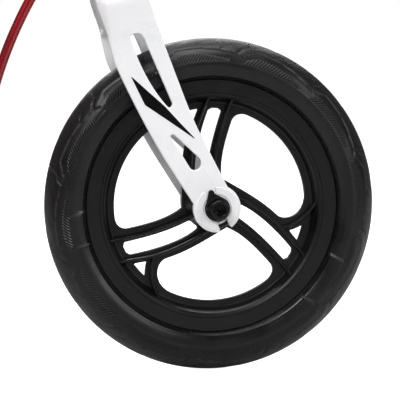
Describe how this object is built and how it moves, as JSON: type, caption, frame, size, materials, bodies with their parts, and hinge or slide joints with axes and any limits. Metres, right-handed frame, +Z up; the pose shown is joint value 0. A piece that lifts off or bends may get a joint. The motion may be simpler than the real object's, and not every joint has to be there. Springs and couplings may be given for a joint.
{
  "type": "balance bike",
  "caption": "Balance bike for a small child: slim tube frame, cast fork with windows, moulded spoked wheels on foam tyres, height-adjustable saddle and bar.",
  "frame": {"origin": "on the ground, midway between the two axles", "axes": "+X forward, +Y to the rider's left, +Z up"},
  "size_m": [0.88, 0.403, 0.6031],
  "materials": {
    "foam_tyre": "matte moulded foam rubber",
    "black_nylon": "fine-grained moulded nylon",
    "white_paint": "gloss white paint on a cast part",
    "red_paint": "gloss metallic red paint",
    "black_steel": "black oxide",
    "bearing_steel": "ground steel",
    "black_aluminium": "black anodised",
    "grip_rubber": "soft ribbed rubber",
    "saddle_cover": "grained artificial leather over foam"
  },
  "bodies": {
    "frame": {"head_tube": "red_paint", "main_tube": "red_paint", "seat_tube": "red_paint", "lower_bar": "red_paint", "chain_stay_left": "red_paint", "chain_stay_right": "red_paint", "seat_stay_left": "red_paint", "seat_stay_right": "red_paint", "rear_end_left": "red_paint", "rear_end_right": "red_paint", "foot_deck": "black_steel", "headset_lower_cup": "black_aluminium", "headset_upper_cup": "black_aluminium", "headset_lower_bearing": "bearing_steel", "headset_upper_bearing": "bearing_steel", "rear_axle": "black_steel", "rear_sleeve": "bearing_steel", "rear_spacer_left": "black_aluminium", "rear_spacer_right": "black_aluminium", "rear_washer_left": "black_steel", "rear_washer_right": "black_steel", "rear_bolt_left": "black_steel", "rear_bolt_right": "black_steel", "seat_clamp_collar": "black_aluminium", "seat_clamp_skewer": "black_steel", "seat_clamp_nut": "black_steel"},
    "fork": {"fork": "white_paint", "steerer_tube": "black_steel", "headset_nut": "black_aluminium", "front_axle": "black_steel", "front_sleeve": "bearing_steel", "front_spacer_left": "black_aluminium", "front_spacer_right": "black_aluminium", "front_washer_left": "black_steel", "front_washer_right": "black_steel", "front_tab_washer_left": "black_steel", "front_tab_washer_right": "black_steel", "front_bolt_left": "black_steel", "front_bolt_right": "black_steel", "bar_clamp_collar": "black_aluminium", "bar_clamp_skewer": "black_steel", "bar_clamp_nut": "black_steel"},
    "front_wheel": {"front_wheel": "black_nylon", "front_tyre": "foam_tyre", "front_bearing_left": "bearing_steel", "front_bearing_right": "bearing_steel"},
    "rear_wheel": {"rear_wheel": "black_nylon", "rear_tyre": "foam_tyre", "rear_bearing_left": "bearing_steel", "rear_bearing_right": "bearing_steel"},
    "handlebar": {"stem_post": "black_aluminium", "handlebar": "black_aluminium", "grip_left": "grip_rubber", "grip_right": "grip_rubber"},
    "seat": {"seat_post": "black_steel", "saddle_shell": "black_nylon", "saddle_pad": "saddle_cover"},
    "bar_lever": {"bar_clamp_lever": "black_aluminium"},
    "seat_lever": {"seat_clamp_lever": "black_aluminium"}
  },
  "joints": [
    {"name": "steering", "type": "hinge", "parent": "frame", "child": "fork", "pos_m": [0.274, 0, 0.15], "axis": [-0.342, 0, 0.9397], "range_deg": [-45, 45]},
    {"name": "front_wheel_spin", "type": "hinge", "parent": "fork", "child": "front_wheel", "pos_m": [0.29, 0, 0.15], "axis": [0, 1, 0], "continuous": true},
    {"name": "rear_wheel_spin", "type": "hinge", "parent": "frame", "child": "rear_wheel", "pos_m": [-0.29, 0, 0.15], "axis": [0, 1, 0], "continuous": true},
    {"name": "bar_height", "type": "slide", "parent": "fork", "child": "handlebar", "axis": [-0.342, 0, 0.9397], "range_m": [0, 0.045]},
    {"name": "seat_height", "type": "slide", "parent": "frame", "child": "seat", "axis": [-0.309, 0, 0.9511], "range_m": [0, 0.08]},
    {"name": "bar_lever_swing", "type": "hinge", "parent": "fork", "child": "bar_lever", "pos_m": [0.13037, 0.0161, 0.4654], "axis": [-0.342, 0, 0.9397], "range_deg": [0, 150]},
    {"name": "seat_lever_swing", "type": "hinge", "parent": "frame", "child": "seat_lever", "pos_m": [-0.13744, 0.0161, 0.27168], "axis": [-0.309, 0, 0.9511], "range_deg": [0, 150]}
  ]
}
